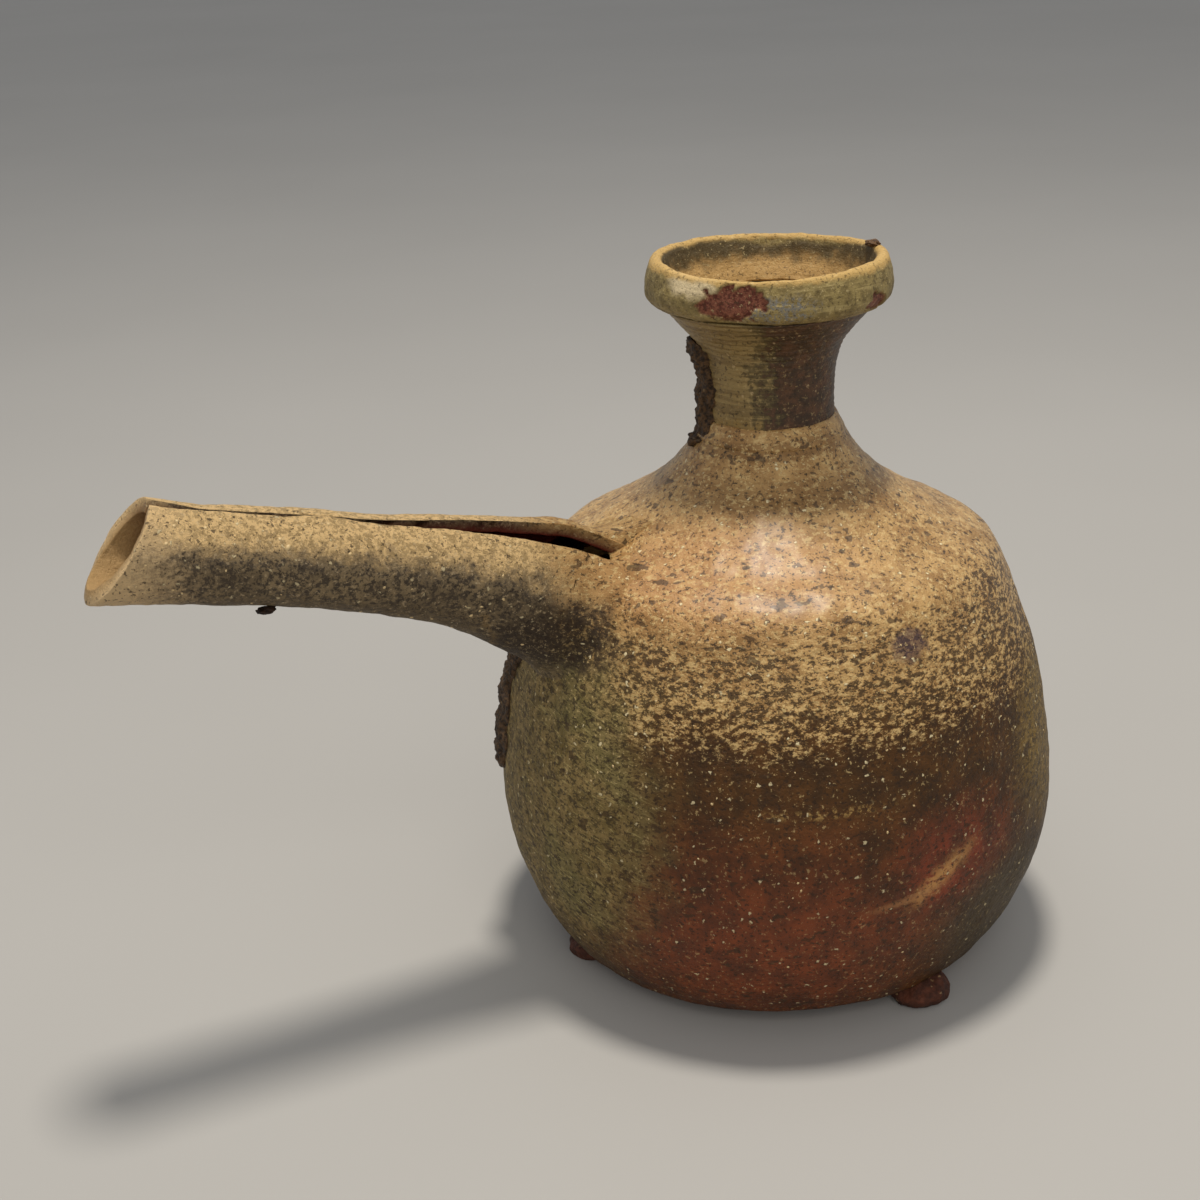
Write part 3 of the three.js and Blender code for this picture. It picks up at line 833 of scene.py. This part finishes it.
# Feet
# Three pellets of clay pressed on under the edge by hand, so that air and flame could pass
# below the pot. Each is squashed flat where it stood.
FEET = ["foot_1", "foot_2", "foot_3"]
foot_clay = bare_clay("foot_clay", "5f3422", "3a2015")
for number, node in enumerate(FEET):
    low, high = (Vector(corner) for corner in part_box(node))
    middle = (low + high) / 2
    half = (high - low) / 2
    bm = bmesh.new()
    bmesh.ops.create_icosphere(bm, subdivisions=5, radius=1)
    for vert in bm.verts:
        swell = 1 + 0.06 * noise.noise(vert.co * 1.6 + Vector((number * 9, 0, 0)))
        vert.co = Vector((
            middle.x + half.x * vert.co.x * swell,
            middle.y + half.y * vert.co.y * swell,
            max(0, middle.z - 0.0004 + (half.z + 0.0009) * vert.co.z * swell),
        ))
    push(bm, lambda p: (0.5 * ripple(p, 2.8) + 0.2 * ripple(p, 1.1)) if p.z > 0.3 else 0)
    finished(bm, node + "_pellet", foot_clay, [node])

# Kiln crust
# Slag, burnt ash and bits of the kiln that fused to the pot on its fire side: a rough tongue up
# the neck, a ridge down the belly, a crumb on the lip and a drip under the spout.
def crust_material(name, light, dark):
    material, wire = new_material(name)
    p = photo_point(wire)
    rubble = cloud(p, 1.3, 5, 0.75)
    color = mix(ease(rubble, 0.38, 0.62), tint(dark), tint(light))
    color = mix(flecks(p, 1.6, 0.25, 0.24) * 0.5, color, tint("8a7350"))
    close_material(wire, color, 0.55 + (rubble - 0.5) * 0.5, rubble * 0.7, specular=0.4)
    return material


dark_crust = crust_material("dark_crust", "5c4329", "22160b")
neck_profile = belly_outside + neck_outside


def pot_radius(height):
    for low, high in zip(neck_profile, neck_profile[1:]):
        if low.y <= height <= high.y and high.y > low.y:
            return low.x + (high.x - low.x) * (height - low.y) / (high.y - low.y)
    return neck_profile[-1].x


def crust(name, node, azimuth, height, size, seed):
    """A rough ridge laid on the pot: size is its half depth, half width and half height."""
    bm = bmesh.new()
    bmesh.ops.create_icosphere(bm, subdivisions=6, radius=1)
    for vert in bm.verts:
        ball = vert.co.copy()
        level = height + size[2] * ball.z
        sway = size[1] * 0.7 * noise.noise(Vector((seed, 0, level / 9)))
        fuller = math.sqrt((1 - ball.z ** 8) / max(1 - ball.z ** 2, 0.01))
        taper = fuller * (0.9 + 0.25 * noise.noise(Vector((seed, 7, level / 6))))
        radius = pot_radius(level) + size[0] * ball.x * taper
        angle = math.radians(azimuth) + (size[1] * ball.y * taper + sway) / radius
        vert.co = POT_AXIS + Vector((math.cos(angle) * radius, math.sin(angle) * radius, level)) * MM
    push(bm, lambda p: 0.9 * noise.fractal(p / 3.4 + Vector((seed, 0, 0)), 0.8, 2.1, 5) + 0.5 * ripple(p, 1.3))
    bmesh.ops.recalc_face_normals(bm, faces=bm.faces)
    finished(bm, name, dark_crust, [node])


crust("neck_crust", "neck_clinker", 166, 155, (2.9, 5.6, 14), 3)
crust("belly_crust", "belly_clinker", 161, 74, (2.7, 5.6, 22), 8)

for name, node, light, dark in (
    ("lip_crumb", "rim_clinker", "6b4d2c", "3f2817"),
    ("spout_bead", "spout_drip", "3a2618", "1c110b"),
):
    low, high = (Vector(corner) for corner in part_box(node))
    middle = (low + high) / 2
    half = (high - low) / 2 * 0.75
    bm = bmesh.new()
    bmesh.ops.create_icosphere(bm, subdivisions=5, radius=1)
    for vert in bm.verts:
        swell = 0.92 + 0.3 * noise.fractal(vert.co * 1.8, 0.9, 2.1, 4)
        vert.co = middle + Vector(half[i] * vert.co[i] * swell for i in range(3))
    finished(bm, name, crust_material(name + "_slag", light, dark), [node])

# Feldspar grains
# Coarse white grains in the clay that swelled through the surface in the fire. Each stands
# about a third of its height out of the wall.
GRAINS_ON_BELLY = 300
GRAINS_ON_SPOUT = 90
draw = random.Random(7)
grains = bmesh.new()


def add_grain(place, normal, size):
    tall = size * draw.uniform(0.35, 0.6)
    spin = normal.to_track_quat("Z", "Y").to_matrix().to_4x4()
    shape = Matrix.Diagonal((size, size * draw.uniform(0.55, 0.95), tall, 1))
    twist = Matrix.Rotation(draw.uniform(0, math.tau), 4, "Z")
    seat = Matrix.Translation(place - normal * tall * 0.35)
    bmesh.ops.create_icosphere(grains, subdivisions=1, radius=1, matrix=seat @ spin @ twist @ shape)


for _ in range(GRAINS_ON_BELLY):
    angle = draw.uniform(0, math.tau)
    level = 12 + 128 * draw.random() ** 0.75
    outside = POT_AXIS + Vector((math.cos(angle), math.sin(angle), 0)) * 0.2
    start = Vector((outside.x, outside.y, level * MM))
    inward = Vector((POT_AXIS.x - outside.x, POT_AXIS.y - outside.y, 0)).normalized()
    place, normal, _, _ = belly_tree.ray_cast(start, inward)
    if place is not None:
        add_grain(place, normal, draw.uniform(0.2, 0.5) * MM)
for _ in range(GRAINS_ON_SPOUT):
    u = draw.uniform(0.25, 0.97)
    angle = draw.uniform(math.radians(25), math.radians(335))
    centre = spout_centre(u)
    start = spout_point(u, angle, 8)
    place, normal, _, _ = spout_tree.ray_cast(start, (centre - start).normalized())
    if place is not None:
        add_grain(place, normal, draw.uniform(0.25, 0.65) * MM)

BIG_GRAIN = (0.66, math.radians(62))
start = spout_point(*BIG_GRAIN, 8)
place, normal, _, _ = spout_tree.ray_cast(start, (spout_centre(BIG_GRAIN[0]) - start).normalized())
add_grain(place, normal, 1.1 * MM)

grain_material, wire = new_material("feldspar")
p = photo_point(wire)
close_material(wire, mix(cloud(p, 2, 3), tint("dcc494"), tint("a98a58")), 0.42)
finished(grains, "feldspar_grains", grain_material, [])
